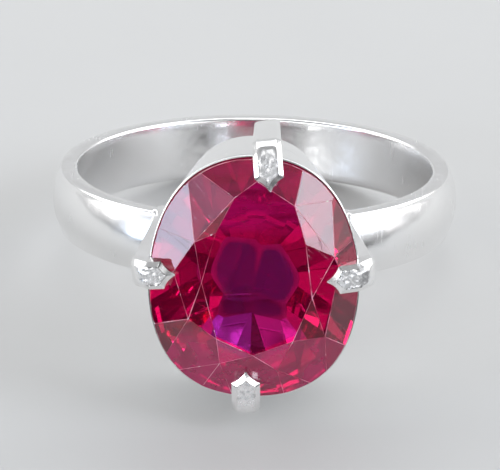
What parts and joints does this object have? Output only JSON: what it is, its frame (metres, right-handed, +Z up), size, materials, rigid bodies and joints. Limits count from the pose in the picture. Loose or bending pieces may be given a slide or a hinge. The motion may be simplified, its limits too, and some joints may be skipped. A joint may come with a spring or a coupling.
{
  "type": "finger ring with a faceted red stone",
  "caption": "Plain silver finger ring, lying on its side, with a faceted egg-oval crimson stone in an oval collet, held by flat claws bent over its edge.",
  "frame": {"origin": "centre of the resting footprint's bounding box, on the floor", "axes": "+Z up from the floor, -Y out of the finger hole through the stone, +X across the ring"},
  "size_m": [0.0208, 0.0262, 0.0143],
  "materials": {
    "red_crystal": "polished facets with worn edges, deep crimson",
    "silver": "polished, with fine scratches and file marks"
  },
  "bodies": {
    "root": {"stone": "red_crystal", "collet": "silver", "claw_top": "silver", "claw_bottom": "silver", "claw_left": "silver", "claw_right": "silver", "band": "silver"}
  },
  "joints": []
}
